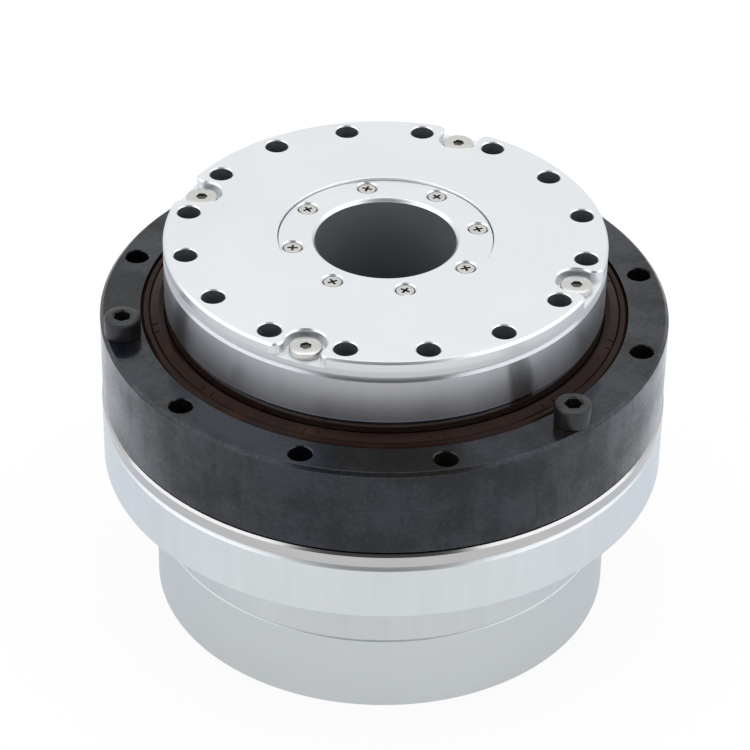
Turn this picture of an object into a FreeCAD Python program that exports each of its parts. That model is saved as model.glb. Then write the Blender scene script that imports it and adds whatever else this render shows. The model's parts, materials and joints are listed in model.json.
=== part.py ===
import FreeCAD, Part
import math
import os

from FreeCAD import Vector

# Hollow-shaft robot joint actuator with a hat-type strain-wave gear.
# Millimetres, +Z along the output axis, origin at the centre of the rear face.
# +X passes through a free hole of the fixed ring.

# Heights of the outer stack above the motor, from the flange up
flange_h = 11.6
brim_t = 3.1
outer_ring_h = 18.45
inner_ring_rise = 2.65
spline_h = 9.3
output_t = 3.7

# Outside radius of the flange and the brim, and the steps from it to the other outlines
flange_r = 55.0
flange_step = 10.0
ring_inset = 0.2
ring_edge = 4.0
ring_section = 8.65
output_edge = 3.85

# Hollow centre, its bore reckoned from the gear's pitch circle
gear_depth = 18.25
sleeve_wall = 1.0
shaft_gap = 1.0
shaft_wall = 2.0

# Edge breaks
small_edge = 0.45
large_edge = 0.65
hole_edge = 0.2
pocket_edge = 0.3
cap_edge = 0.1
bore_edge = 0.6
joint_edge = 0.25

# Fits
seat_gap = 0.03
thread_gap = 0.05
run_gap = 0.12
turn_gap = 0.5
clear_gap = 0.25

# Bolt circle of the fixed ring: clearance holes, some taken by assembly screws
ring_holes = 12
ring_hole_r = 2.25
ring_screws = 3
ring_screw_angle = 60.0
ring_thread_depth = 9.0

# Bolt circle of the output face
output_holes = 16
output_hole_r = 2.25
output_angle = -1.0

# Screws: thread radius, head radius, head height and hexagon across flats
m4_r = 2.0
m4_head_r = 3.5
m4_head_h = 4.0
m4_hex = 3.0
m3_r = 1.5
m3_head_r = 2.75
m3_head_h = 3.0
m3_hex = 2.5
m25_r = 1.25
m25_head_r = 2.25
m25_head_h = 2.5
m25_hex = 2.0
m2_r = 1.0
m2_head_r = 1.9
m2_head_h = 2.0
m2_hex = 1.5
hex_depth_share = 0.55
head_edge_share = 0.1
thread_spare = 1.0

# Pockets in the rim of the output flange, each round a low-head screw
pockets = 4
pocket_steps = 2.5
pocket_depth = 2.2
pocket_r = 3.9
pocket_corner_r = 2.0
low_head_r = 3.05
low_head_h = 1.25
low_hex = 2.0
flange_screw_len = 7.0
spline_screw_grip = 7.4

# Cap that closes the output flange round the sleeve
cap_w = 7.1
cap_gap = 0.1
cap_t = 1.5
cap_drop = 0.5
cap_ledge_t = 2.0
cap_ledge_w = 3.0
cap_screw_inset = 4.5
cap_screws = 8
cap_head_r = 1.65
cap_screw_sink = 0.3
cap_sink_gap = 0.05
cap_screw_len = 3.2
sleeve_drop = 0.8
sleeve_rise = 1.0

# Strain-wave gear
spline_wall = 10.6
flex_teeth = 200
spline_teeth = 202
tooth_head = 0.22
tooth_foot = 0.30
tooth_flank_deg = 25.0
tooth_gap = 0.015
rim_wall = 1.2
tube_wall = 0.7
diaphragm_t = 0.6
diaphragm_rise = 1.3
brim_clamp_w = 10.0
spline_recess = 0.6
flex_below = 0.5
flex_above = 0.4

# Crossed roller bearing
roller_d = 5.5
roller_l = 5.3
rollers = 36
roller_land_gap = 1.5
roller_rise = 6.2
inner_ring_lift = 0.9
inner_ring_wall = 7.85
spacer_t = 1.0
spacer_r = 2.2

# Oil seal
seal_w = 4.65
seal_h = 5.1
seal_bevel = 0.7
seal_flat_w = 0.8
seal_lip_rise = 0.65
seal_lip_lean = 0.9
seal_lip_t = 0.25
seal_contact_rise = 0.1
seal_groove = 0.4
seal_waist_top = 1.3
seal_waist_low = 1.7
seal_spring_lip = 2.55

# Wave generator and its flexible ball bearing
wave_bearing_w = 7.0
wave_race_t = 1.8
wave_shoulder_h = 0.6
wave_ball_r = 1.9
wave_groove_w = 3.2
wave_balls = 22
wave_cage_t = 1.0
wave_cage_w = 5.4
shaft_seat_t = 2.2
shaft_seat_w = 3.9
plug_screw_inset = 2.25
plug_screws = 6
plug_screw_len = 7.0

# Shaft bearings
bearing_section = 6.0
bearing_w = 7.0
bearing_ball_r = 1.6
bearing_race_gap = 1.7
bearing_balls = 16
bearing_cage_t = 0.9
bearing_cage_w = 4.6
bearing_lip_w = 1.6
bearing_lip_t = 1.2
front_bearing_drop = 6.0
shaft_shoulder_w = 1.7
shaft_shoulder_t = 3.0
bearing_wall = 2.5

# Motor
neck_wall = 7.0
stator_yoke = 3.5
stator_h = 12.0
stator_slots = 18
stator_tooth_w = 4.2
coil_space = 0.85
coil_over = 2.6
coil_room = 1.0
coil_gap = 0.15
coil_tip_gap = 1.6
air_gap = 0.6
magnet_t = 2.1
magnets = 20
magnet_span = 16.0
hub_boss_t = 3.4
hub_wall = 5.3
web_t = 5.4

# Rear plate, board and encoders
plate_t = 3.0
plate_inset = 3.4
plate_spigot_h = 1.6
plate_spigot_w = 1.5
plate_spigot_room = 0.4
plate_screw_inset = 2.0
plate_screws = 8
plate_screw_len = 8.0
locknut_t = 2.4
locknut_w = 3.9
locknut_slots = 4
locknut_slot_w = 4.0
encoder_t = 1.0
motor_encoder_w = 5.5
output_encoder_w = 9.0
encoder_gap = 0.5
board_t = 1.6
board_room = 4.2
board_hole_gap = 2.1
board_screw_inset = 4.3
board_screws = 4
board_screw_angle = 45.0
board_screw_len = 5.0
standoff_r = 2.5
read_head_w = 4.0
read_head_t = 0.7
chip_w = 6.0
chip_t = 1.2
chips = 6
chip_inset = 8.3

# Rear cover
cover_wall = 3.0
cover_floor = 2.4
cover_screw_inset = 3.4
cover_screws = 4
cover_screw_angle = 45.0
cover_screw_len = 18.0
cover_boss_r = 3.2
cover_counterbore = 3.4

# Connectors on the board, seen through windows in the back of the cover
power_w = 10.0
power_h = 5.6
power_x = -7.0
power_pins = 2
signal_w = 7.5
signal_h = 4.4
signal_x = 4.5
signal_pins = 4
connector_l = 11.0
connector_wall = 0.9
connector_cavity_l = 6.0
connector_drop = 1.2
connector_room = 1.1
pin_w = 0.8

# Static seal under the brim
o_ring_r = 0.7
o_ring_inset = 3.4
o_ring_groove_w = 1.9

# Derived radii of the outer stack and its bolt circles
ring_r = flange_r - ring_inset
ring_circle = flange_r - ring_edge
spline_r = ring_circle - ring_section
output_circle = spline_r - output_edge
seal_r = spline_r + seal_w
o_ring_circle = ring_circle - o_ring_inset
case_r = flange_r - flange_step
cover_in_r = case_r - cover_wall
cover_screw_circle = case_r - cover_screw_inset
plate_r = case_r - plate_inset
plate_screw_circle = plate_r - plate_screw_inset
board_r = cover_in_r - board_room
board_screw_circle = board_r - board_screw_inset
chip_circle = board_r - chip_inset

# Derived gear radii
spline_pitch_r = spline_r - spline_wall
gear_module = 2 * spline_pitch_r / spline_teeth
flex_pitch_r = gear_module * flex_teeth / 2
wave = spline_pitch_r - flex_pitch_r
flex_bore_r = flex_pitch_r - tooth_foot - rim_wall
spline_root_r = spline_pitch_r + tooth_foot

# Mean radii of the wave bearing, from the flexspline inwards
wave_back_r = flex_bore_r - 2 * seat_gap
wave_outer_groove_r = wave_back_r - wave_race_t
wave_ball_circle = wave_outer_groove_r - run_gap - wave_ball_r
wave_inner_groove_r = wave_ball_circle - wave_ball_r - run_gap
plug_r = wave_inner_groove_r - wave_race_t

# Derived radii round the hollow centre, from the bore outwards
bore_r = spline_pitch_r - gear_depth
cap_opening_r = bore_r + cap_w
cap_r = cap_opening_r - cap_gap
cap_ledge_r = cap_opening_r + cap_ledge_w
cap_circle = bore_r + cap_screw_inset
sleeve_r = bore_r + sleeve_wall
output_encoder_r = sleeve_r + output_encoder_w
shaft_bore_r = sleeve_r + shaft_gap
shaft_r = shaft_bore_r + shaft_wall
shaft_shoulder_r = shaft_r + shaft_shoulder_w
shaft_seat_r = shaft_r + shaft_seat_w
plug_screw_circle = shaft_r + plug_screw_inset
locknut_r = shaft_r + locknut_w
motor_encoder_r = shaft_r + motor_encoder_w
board_hole_r = shaft_r + board_hole_gap
bearing_circle = shaft_r + bearing_section / 2
bearing_r = shaft_r + bearing_section

# Derived motor radii
magnet_seat_r = shaft_r + hub_wall
magnet_r = magnet_seat_r + magnet_t
stator_bore_r = magnet_r + air_gap
stator_r = case_r - neck_wall

# Derived heights, from the rear face up
z_output_encoder = cover_floor + turn_gap
board_z = z_output_encoder + encoder_t + encoder_gap + read_head_t
z_board_top = board_z + board_t
z_plate = z_board_top + power_h + connector_room
z_neck = z_plate + plate_t
z_stator = z_neck + plate_spigot_h + plate_spigot_room + coil_over
z_web = z_stator + stator_h + coil_over + coil_room
z_brim = z_web + web_t
z_flange = z_brim - flange_h
z_ring = z_brim + brim_t
z_roller = z_ring + roller_rise
z_ring_top = z_ring + outer_ring_h
z_spline = z_ring_top + inner_ring_rise
z_output = z_spline + spline_h
z_top = z_output + output_t
z_cap = z_top - cap_drop
z_ledge = z_cap - cap_t
z_sleeve_top = z_cap - sleeve_drop

# Derived heights of the gear and the bearings
z_flex_tooth = z_spline - flex_below
z_flex_top = z_output - spline_recess - flex_above
z_wave = (z_flex_tooth + z_flex_top) / 2
z_wave_low = z_wave - wave_bearing_w / 2
z_wave_high = z_wave + wave_bearing_w / 2
roller_circle = spline_r + roller_land_gap / 2
z_front_low = z_brim - front_bearing_drop
z_front_high = z_front_low + bearing_w
z_rear_high = z_stator - coil_over + clear_gap
z_rear_low = z_rear_high - bearing_w
z_locknut = z_rear_low - locknut_t
z_motor_encoder = z_locknut - encoder_t

origin = Vector(0, 0, 0)
up = Vector(0, 0, 1)


def disc(radius, low, high):
    return Part.makeCylinder(radius, high - low, Vector(0, 0, low))


def ring(inner, outer, low, high):
    return disc(outer, low, high).cut(disc(inner, low, high))


def turned(points):
    # A solid of revolution from its half section, given as (radius, height)
    section = [Vector(r, 0, z) for r, z in points]
    face = Part.Face(Part.makePolygon(section + section[:1]))
    return face.revolve(origin, up, 360)


def place(circle, degrees, height=0.0):
    angle = math.radians(degrees)
    return Vector(circle * math.cos(angle), circle * math.sin(angle), height)


def even(count, first=0.0):
    return [first + 360.0 * i / count for i in range(count)]


def spun(shape, angles):
    # Copies of one shape turned about the axis
    copies = []
    for degrees in angles:
        copy = shape.copy()
        copy.rotate(origin, up, degrees)
        copies.append(copy)
    return copies


def pin(radius, circle, degrees, low, high):
    return Part.makeCylinder(radius, high - low, place(circle, degrees, low))


def pins(radius, circle, angles, low, high):
    return [pin(radius, circle, degrees, low, high) for degrees in angles]


def countersinks(radius, edge, circle, angles, top):
    # Cones that break the upper edge of a ring of holes
    return [
        Part.makeCone(radius, radius + edge, edge, place(circle, degrees, top - edge))
        for degrees in angles
    ]


def hexagon(flats, low, high):
    corner = flats / math.sqrt(3)
    points = [place(corner, 60 * i, low) for i in range(7)]
    return Part.Face(Part.makePolygon(points)).extrude(Vector(0, 0, high - low))


def cap_screw(thread_r, head_r, head_h, flats, length):
    # Socket head screw, head up, seated at height zero
    edge = head_h * head_edge_share
    body = turned(
        [
            (0, -length),
            (thread_r - thread_gap, -length),
            (thread_r - thread_gap, 0),
            (head_r, 0),
            (head_r, head_h - edge),
            (head_r - edge, head_h),
            (0, head_h),
        ]
    )
    return body.cut(hexagon(flats, head_h * (1 - hex_depth_share), head_h))


def screw_set(screw, circle, angles, height, upside_down=False):
    if upside_down:
        screw.rotate(origin, Vector(1, 0, 0), 180)
    screw.translate(Vector(circle, 0, height))
    return Part.makeCompound(spun(screw, angles))


def ellipse_wire(mean, height):
    # The wave generator's oval: major axis along X
    oval = Part.Ellipse(Vector(0, 0, height), mean + wave, mean - wave)
    return Part.Wire(oval.toShape())


def oval_disc(mean, low, high):
    return Part.Face(ellipse_wire(mean, low)).extrude(Vector(0, 0, high - low))


def oval_ring(inner, outer, low, high):
    return oval_disc(outer, low, high).cut(oval_disc(inner, low, high))


def flexed(radius, angle):
    # A point of the flexspline after the wave generator has bent it
    shift = -wave / 2 * math.sin(2 * angle) / flex_pitch_r
    reach = radius + wave * math.cos(2 * angle)
    return reach * math.cos(angle + shift), reach * math.sin(angle + shift)


def unflexed(radius, angle):
    return radius * math.cos(angle), radius * math.sin(angle)


def tooth_ring(count, pitch_r, tip_r, root_r, first, shape, height):
    # Closed outline of straight-flanked teeth on one pitch circle
    lean = math.tan(math.radians(tooth_flank_deg))
    half = math.pi * gear_module / 4 - tooth_gap
    tip_half = (half - abs(tip_r - pitch_r) * lean) / pitch_r
    root_half = (half + abs(root_r - pitch_r) * lean) / pitch_r
    points = []
    for i in range(count):
        centre = 2 * math.pi * (i + first) / count
        for radius, offset in (
            (root_r, -root_half),
            (tip_r, -tip_half),
            (tip_r, tip_half),
            (root_r, root_half),
        ):
            x, y = shape(radius, centre + offset)
            points.append(Vector(x, y, height))
    return Part.makePolygon(points + points[:1])


def circle_wire(radius, centre):
    return Part.Wire(Part.Circle(centre, up, radius).toShape())


def plate_from(outlines, thickness):
    face = Part.makeFace(outlines, "Part::FaceMakerBullseye")
    return face.extrude(Vector(0, 0, thickness))


def box(width, depth, height, corner):
    return Part.makeBox(width, depth, height, corner)


ring_hole_angles = even(ring_holes)
ring_screw_angles = even(ring_screws, ring_screw_angle)
output_hole_angles = even(output_holes, output_angle)
output_step_deg = 360.0 / output_holes
pocket_angles = even(pockets, output_angle + pocket_steps * output_step_deg)
spline_screw_angles = sorted(
    angle + side * output_step_deg for angle in pocket_angles for side in (-1, 1)
)
cap_screw_angles = even(cap_screws, output_angle)
cover_screw_angles = even(cover_screws, cover_screw_angle)
plate_screw_angles = even(plate_screws, 180.0 / plate_screws)
board_screw_angles = even(board_screws, board_screw_angle)


# Fixed pieces


def rear_cover():
    hole_r = sleeve_r + turn_gap
    shell = turned(
        [
            (hole_r, 0),
            (case_r - small_edge, 0),
            (case_r, small_edge),
            (case_r, z_neck - joint_edge),
            (case_r - joint_edge, z_neck),
            (cover_in_r, z_neck),
            (cover_in_r, cover_floor),
            (hole_r, cover_floor),
        ]
    )
    inside = disc(cover_in_r + small_edge, 0, z_neck)
    bosses = [
        boss.common(inside)
        for boss in pins(cover_boss_r, cover_screw_circle, cover_screw_angles, 0, z_neck)
    ]
    shell = shell.fuse(bosses)
    holes = pins(m3_r + clear_gap, cover_screw_circle, cover_screw_angles, 0, z_neck)
    sinks = pins(m3_head_r + clear_gap, cover_screw_circle, cover_screw_angles, 0, cover_counterbore)
    windows = [
        box(
            width + 2 * clear_gap,
            case_r,
            height + 2 * clear_gap,
            Vector(left - width / 2 - clear_gap, cover_in_r / 2, z_board_top - clear_gap),
        )
        for width, height, left in (
            (power_w, power_h, power_x),
            (signal_w, signal_h, signal_x),
        )
    ]
    return shell.cut(holes + sinks + windows)


def motor_housing():
    seat_r = bearing_r + seat_gap
    lip_r = bearing_r - bearing_lip_w
    boss_r = bearing_r + bearing_wall
    lip_top = z_front_high + bearing_lip_t
    body = turned(
        [
            (stator_r + seat_gap, z_neck),
            (case_r - joint_edge, z_neck),
            (case_r, z_neck + joint_edge),
            (case_r, z_flange),
            (flange_r - small_edge, z_flange),
            (flange_r, z_flange + small_edge),
            (flange_r, z_brim - large_edge),
            (flange_r - large_edge, z_brim),
            (boss_r, z_brim),
            (boss_r, lip_top),
            (lip_r, lip_top),
            (lip_r, z_front_high),
            (seat_r, z_front_high),
            (seat_r, z_front_low),
            (boss_r, z_front_low),
            (boss_r, z_web),
            (stator_r + seat_gap, z_web),
        ]
    )
    low = z_brim - ring_thread_depth
    threads = pins(m4_r, ring_circle, ring_hole_angles, low, z_brim)
    cover_threads = pins(
        m3_r, cover_screw_circle, cover_screw_angles, z_neck, cover_counterbore + cover_screw_len
    )
    plate_threads = pins(
        m25_r, plate_screw_circle, plate_screw_angles, z_neck, z_plate + plate_screw_len
    )
    half = o_ring_groove_w / 2
    groove = ring(o_ring_circle - half, o_ring_circle + half, z_brim - 2 * o_ring_r, z_brim)
    return body.cut(threads + cover_threads + plate_threads + [groove])


def housing_o_ring():
    return Part.makeTorus(o_ring_circle, o_ring_r, Vector(0, 0, z_brim - o_ring_r))


def rear_bearing_plate():
    seat_r = bearing_r + seat_gap
    lip_r = bearing_r - bearing_lip_w
    boss_r = bearing_r + bearing_wall
    spigot_r = stator_r - seat_gap
    z_lip = z_rear_low - bearing_lip_t
    body = turned(
        [
            (lip_r, z_lip),
            (boss_r, z_lip),
            (boss_r, z_plate),
            (plate_r, z_plate),
            (plate_r, z_neck),
            (spigot_r, z_neck),
            (spigot_r, z_neck + plate_spigot_h),
            (spigot_r - plate_spigot_w, z_neck + plate_spigot_h),
            (spigot_r - plate_spigot_w, z_neck),
            (boss_r, z_neck),
            (boss_r, z_rear_high),
            (seat_r, z_rear_high),
            (seat_r, z_rear_low),
            (lip_r, z_rear_low),
        ]
    )
    scallops = pins(
        cover_boss_r + clear_gap, cover_screw_circle, cover_screw_angles, z_plate, z_neck
    )
    holes = pins(m25_r + clear_gap, plate_screw_circle, plate_screw_angles, z_plate, z_neck)
    taps = pins(m2_r, board_screw_circle, board_screw_angles, z_plate, z_neck)
    return body.cut(scallops + holes + taps)


def stator_core():
    outer = circle_wire(stator_r, Vector(0, 0, z_stator))
    inner = circle_wire(stator_r - stator_yoke, Vector(0, 0, z_stator))
    core = plate_from([outer, inner], stator_h)
    reach = stator_r - stator_yoke / 2 - stator_bore_r
    tooth = box(
        reach, stator_tooth_w, stator_h, Vector(stator_bore_r, -stator_tooth_w / 2, z_stator)
    )
    core = core.fuse(spun(tooth, even(stator_slots)))
    return core.cut(disc(stator_bore_r, z_stator, z_stator + stator_h)).removeSplitter()


def stator_windings():
    inner = stator_bore_r + coil_tip_gap
    depth = math.cos(math.pi / stator_slots) * (stator_r - stator_yoke) - inner - coil_gap
    slot_w = stator_tooth_w + 2 * coil_gap
    width = 2 * inner * math.tan(math.pi / stator_slots) - coil_space
    low = z_stator - coil_over
    high = z_stator + stator_h + coil_over
    coil = box(depth, width, high - low, Vector(inner, -width / 2, low))
    core = box(
        depth, slot_w, stator_h + 2 * coil_gap, Vector(inner, -slot_w / 2, z_stator - coil_gap)
    )
    return Part.makeCompound(spun(coil.cut(core), even(stator_slots)))


def flexspline():
    foot_r = flex_bore_r + tube_wall
    clamp_r = flange_r - brim_clamp_w
    z_sheet = z_brim + diaphragm_rise
    z_tube = z_ring + inner_ring_lift
    brim = turned(
        [
            (flex_bore_r, z_sheet),
            (clamp_r, z_sheet),
            (clamp_r, z_brim),
            (flange_r - small_edge, z_brim),
            (flange_r, z_brim + small_edge),
            (flange_r, z_ring - small_edge),
            (flange_r - small_edge, z_ring),
            (clamp_r, z_ring),
            (clamp_r, z_sheet + diaphragm_t),
            (foot_r, z_sheet + diaphragm_t),
            (foot_r, z_tube),
            (flex_bore_r, z_tube),
        ]
    )
    holes = pins(ring_hole_r, ring_circle, ring_hole_angles, z_brim, z_ring)
    brim = brim.cut(holes)
    foot = Vector(0, 0, z_tube)
    outside = Part.makeLoft(
        [circle_wire(foot_r, foot), ellipse_wire(foot_r, z_flex_tooth)], True, True
    )
    inside = Part.makeLoft(
        [circle_wire(flex_bore_r, foot), ellipse_wire(flex_bore_r, z_flex_tooth)], True, True
    )
    teeth = tooth_ring(
        flex_teeth,
        flex_pitch_r,
        flex_pitch_r + tooth_head,
        flex_pitch_r - tooth_foot,
        0,
        flexed,
        z_flex_tooth,
    )
    rim = plate_from([teeth, ellipse_wire(flex_bore_r, z_flex_tooth)], z_flex_top - z_flex_tooth)
    return brim.fuse([outside.cut(inside), rim])


def bearing_outer_ring():
    land_r = spline_r + roller_land_gap
    corner = (roller_d / 2 + run_gap) * math.sqrt(2)
    half = corner - (land_r - roller_circle)
    body = turned(
        [
            (land_r, z_ring),
            (ring_r - large_edge, z_ring),
            (ring_r, z_ring + large_edge),
            (ring_r, z_ring_top - large_edge),
            (ring_r - large_edge, z_ring_top),
            (seal_r, z_ring_top),
            (seal_r, z_ring_top - seal_h),
            (land_r, z_ring_top - seal_h),
            (land_r, z_roller + half),
            (roller_circle + corner, z_roller),
            (land_r, z_roller - half),
        ]
    )
    holes = pins(ring_hole_r, ring_circle, ring_hole_angles, z_ring, z_ring_top)
    edges = countersinks(ring_hole_r, hole_edge, ring_circle, ring_hole_angles, z_ring_top)
    return body.cut(holes + edges)


def oil_seal():
    lip_r = spline_r + run_gap
    lip_top_r = lip_r + seal_lip_lean
    z_lip = z_ring_top + seal_lip_rise
    case_out = seal_r - seat_gap
    bevel_r = case_out - seal_bevel
    flat_r = bevel_r - seal_flat_w
    low = z_ring_top - seal_h
    mid_r = (lip_r + flat_r) / 2
    return turned(
        [
            (mid_r, low),
            (case_out, low),
            (case_out, z_ring_top - seal_bevel),
            (bevel_r, z_ring_top),
            (flat_r, z_ring_top),
            (flat_r - seal_groove / 2, z_ring_top - seal_groove),
            (flat_r - seal_groove, z_ring_top),
            (lip_top_r + seal_lip_t, z_lip),
            (lip_top_r, z_lip),
            (lip_r, z_ring_top + seal_contact_rise),
            (mid_r, z_ring_top - seal_waist_top),
            (mid_r, z_ring_top - seal_waist_low),
            (lip_r, z_ring_top - seal_spring_lip),
            (lip_r, z_ring_top - seal_spring_lip - seal_lip_t),
        ]
    )


def outer_ring_screws():
    length = outer_ring_h + brim_t + ring_thread_depth - thread_spare
    screw = cap_screw(m4_r, m4_head_r, m4_head_h, m4_hex, length)
    return screw_set(screw, ring_circle, ring_screw_angles, z_ring_top)


def rear_cover_screws():
    screw = cap_screw(m3_r, m3_head_r, m3_head_h, m3_hex, cover_screw_len - thread_spare)
    return screw_set(screw, cover_screw_circle, cover_screw_angles, cover_counterbore, True)


def bearing_plate_screws():
    screw = cap_screw(m25_r, m25_head_r, m25_head_h, m25_hex, plate_screw_len - thread_spare)
    return screw_set(screw, plate_screw_circle, plate_screw_angles, z_plate, True)


def driver_board():
    centre = Vector(0, 0, board_z)
    outlines = [circle_wire(board_r, centre), circle_wire(board_hole_r, centre)]
    for degrees in board_screw_angles:
        hole = place(board_screw_circle, degrees, board_z)
        outlines.append(circle_wire(m2_r + clear_gap, hole))
    return plate_from(outlines, board_t)


def board_standoffs():
    body = ring(m2_r, standoff_r, z_board_top, z_plate)
    body.translate(Vector(board_screw_circle, 0, 0))
    return Part.makeCompound(spun(body, board_screw_angles))


def board_screw_set():
    screw = cap_screw(m2_r, m2_head_r, m2_head_h, m2_hex, board_screw_len)
    return screw_set(screw, board_screw_circle, board_screw_angles, board_z, True)


def board_chips():
    chip = box(chip_w, chip_w, chip_t, Vector(chip_circle - chip_w / 2, -chip_w / 2, z_board_top))
    angles = even(2 * chips, 180.0 / chips)
    return Part.makeCompound(spun(chip, angles[chips // 2 : chips // 2 + chips]))


def encoder_read_heads():
    half = read_head_w / 2
    circle = board_hole_r + half
    upper = box(
        read_head_w, read_head_w, read_head_t, Vector(circle - half, -half, z_board_top)
    )
    lower = box(
        read_head_w, read_head_w, read_head_t, Vector(circle - half, -half, board_z - read_head_t)
    )
    return Part.makeCompound([upper, lower])


def connector(width, height, middle, pin_count):
    face_y = case_r - connector_drop
    start_y = face_y - connector_l
    body = box(width, connector_l, height, Vector(middle - width / 2, start_y, z_board_top))
    wall = connector_wall
    cavity = box(
        width - 2 * wall,
        connector_cavity_l,
        height - 2 * wall,
        Vector(middle - width / 2 + wall, face_y - connector_cavity_l, z_board_top + wall),
    )
    body = body.cut(cavity)
    pitch = (width - 2 * wall) / pin_count
    blades = [
        box(
            pin_w,
            connector_cavity_l,
            pin_w,
            Vector(
                middle - width / 2 + wall + (i + 0.5) * pitch - pin_w / 2,
                face_y - connector_cavity_l - pin_w,
                z_board_top + height / 2 - pin_w / 2,
            ),
        )
        for i in range(pin_count)
    ]
    return body.fuse(blades)


# Bearings of the motor shaft


def bearing_groove(middle):
    return Part.makeTorus(bearing_circle, bearing_ball_r + run_gap, Vector(0, 0, middle))


def inner_race(low):
    body = ring(shaft_r + seat_gap, bearing_circle - bearing_race_gap / 2, low, low + bearing_w)
    return body.cut(bearing_groove(low + bearing_w / 2))


def outer_race(low):
    body = ring(bearing_circle + bearing_race_gap / 2, bearing_r, low, low + bearing_w)
    return body.cut(bearing_groove(low + bearing_w / 2))


def ball_set(low):
    centre = Vector(bearing_circle, 0, low + bearing_w / 2)
    ball = Part.makeSphere(bearing_ball_r, centre)
    return Part.makeCompound(spun(ball, even(bearing_balls)))


def ball_pocket(ball_r, circle, height):
    # A round hole through a cage, along the radius
    radius = ball_r + run_gap
    start = Vector(circle - radius, 0, height)
    return Part.makeCylinder(radius, 2 * radius, start, Vector(1, 0, 0))


def ball_cage(low):
    middle = low + bearing_w / 2
    half = bearing_cage_w / 2
    inner = bearing_circle - bearing_cage_t / 2
    body = ring(inner, inner + bearing_cage_t, middle - half, middle + half)
    return body.cut(spun(ball_pocket(bearing_ball_r, bearing_circle, middle), even(bearing_balls)))


# Crossed rollers


def roller(tilt):
    # A cylinder across the race, its axis leaning inward or outward by 45 degrees
    axis = Vector(math.sin(math.radians(tilt)), 0, math.cos(math.radians(tilt)))
    start = Vector(roller_circle, 0, z_roller) - axis * (roller_l / 2)
    return Part.makeCylinder(roller_d / 2, roller_l, start, axis)


def crossed_rollers():
    angles = even(rollers)
    leaning_out = spun(roller(45), angles[0::2])
    leaning_in = spun(roller(-45), angles[1::2])
    return Part.makeCompound(leaning_out + leaning_in)


def roller_spacers():
    start = Vector(roller_circle, -spacer_t / 2, z_roller)
    spacer = Part.makeCylinder(spacer_r, spacer_t, start, Vector(0, 1, 0))
    return Part.makeCompound(spun(spacer, even(rollers, 180.0 / rollers)))


# Output pieces


def pocket_cutter():
    # A round pocket that opens to the rim between two rounded corners, its upper edge broken
    corner_circle = spline_r - pocket_corner_r
    span = pocket_r + pocket_corner_r
    turn = math.degrees(
        math.acos(
            (output_circle**2 + corner_circle**2 - span**2) / (2 * output_circle * corner_circle)
        )
    )
    low = z_top - pocket_depth
    z_edge = z_top - pocket_edge
    outside = spline_r + pocket_corner_r
    mouth = [
        place(output_circle, 0, low),
        place(corner_circle, -turn, low),
        place(outside, -turn, low),
        place(outside, turn, low),
        place(corner_circle, turn, low),
        place(output_circle, 0, low),
    ]
    prism = Part.Face(Part.makePolygon(mouth)).extrude(Vector(0, 0, pocket_depth))
    corners = pins(pocket_corner_r, corner_circle, (-turn, turn), low, z_edge)
    for side in (-turn, turn):
        foot = place(corner_circle, side, z_edge)
        narrow = pocket_corner_r - pocket_edge
        corners.append(Part.makeCone(pocket_corner_r, narrow, pocket_edge, foot))
    edge = countersinks(pocket_r, pocket_edge, output_circle, (0,), z_top)
    return pin(pocket_r, output_circle, 0, low, z_top).fuse([prism.cut(corners)] + edge)


def output_flange():
    spigot_r = spline_root_r + spline_recess - seat_gap
    hole_r = sleeve_r + clear_gap
    z_under = z_ledge - cap_ledge_t
    z_spigot = z_output - spline_recess
    body = turned(
        [
            (hole_r, z_under),
            (cap_ledge_r, z_under),
            (cap_ledge_r, z_spigot),
            (spigot_r, z_spigot),
            (spigot_r, z_output),
            (spline_r - small_edge, z_output),
            (spline_r, z_output + small_edge),
            (spline_r, z_top - small_edge),
            (spline_r - small_edge, z_top),
            (cap_opening_r + cap_edge, z_top),
            (cap_opening_r, z_top - cap_edge),
            (cap_opening_r, z_ledge),
            (hole_r, z_ledge),
        ]
    )
    body = body.cut(spun(pocket_cutter(), pocket_angles))
    holes = pins(output_hole_r, output_circle, output_hole_angles, z_output, z_top)
    edges = countersinks(output_hole_r, hole_edge, output_circle, output_hole_angles, z_top)
    screw_holes = pins(m3_r + clear_gap, output_circle, pocket_angles, z_output, z_top)
    cap_threads = pins(m2_r, cap_circle, cap_screw_angles, z_under, z_ledge)
    return body.cut(holes + edges + screw_holes + cap_threads)


def flange_screws():
    screw = cap_screw(m3_r, low_head_r, low_head_h, low_hex, flange_screw_len)
    return screw_set(screw, output_circle, pocket_angles, z_top - pocket_depth)


def circular_spline():
    foot = Vector(0, 0, z_spline)
    teeth = tooth_ring(
        spline_teeth,
        spline_pitch_r,
        spline_pitch_r - tooth_head,
        spline_root_r,
        0.5,
        unflexed,
        z_spline,
    )
    outlines = [circle_wire(spline_r, foot), teeth]
    for angles, radius in (
        (output_hole_angles, m4_r),
        (pocket_angles, m3_r),
        (spline_screw_angles, m3_r + clear_gap),
    ):
        for degrees in angles:
            outlines.append(circle_wire(radius, place(output_circle, degrees, z_spline)))
    body = plate_from(outlines, spline_h)
    recess = disc(spline_root_r + spline_recess, z_output - spline_recess, z_output)
    sink = z_output - m3_head_h - clear_gap
    sinks = pins(m3_head_r + clear_gap, output_circle, spline_screw_angles, sink, z_output)
    rim_cut = turned(
        [
            (spline_r - large_edge, z_output),
            (spline_r + large_edge, z_output),
            (spline_r + large_edge, z_output - 2 * large_edge),
        ]
    )
    return body.cut([recess, rim_cut] + sinks)


def spline_screw_set():
    sink = z_output - m3_head_h - clear_gap
    length = sink - z_spline + spline_screw_grip
    screw = cap_screw(m3_r, m3_head_r, m3_head_h, m3_hex, length)
    return screw_set(screw, output_circle, spline_screw_angles, sink)


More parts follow.
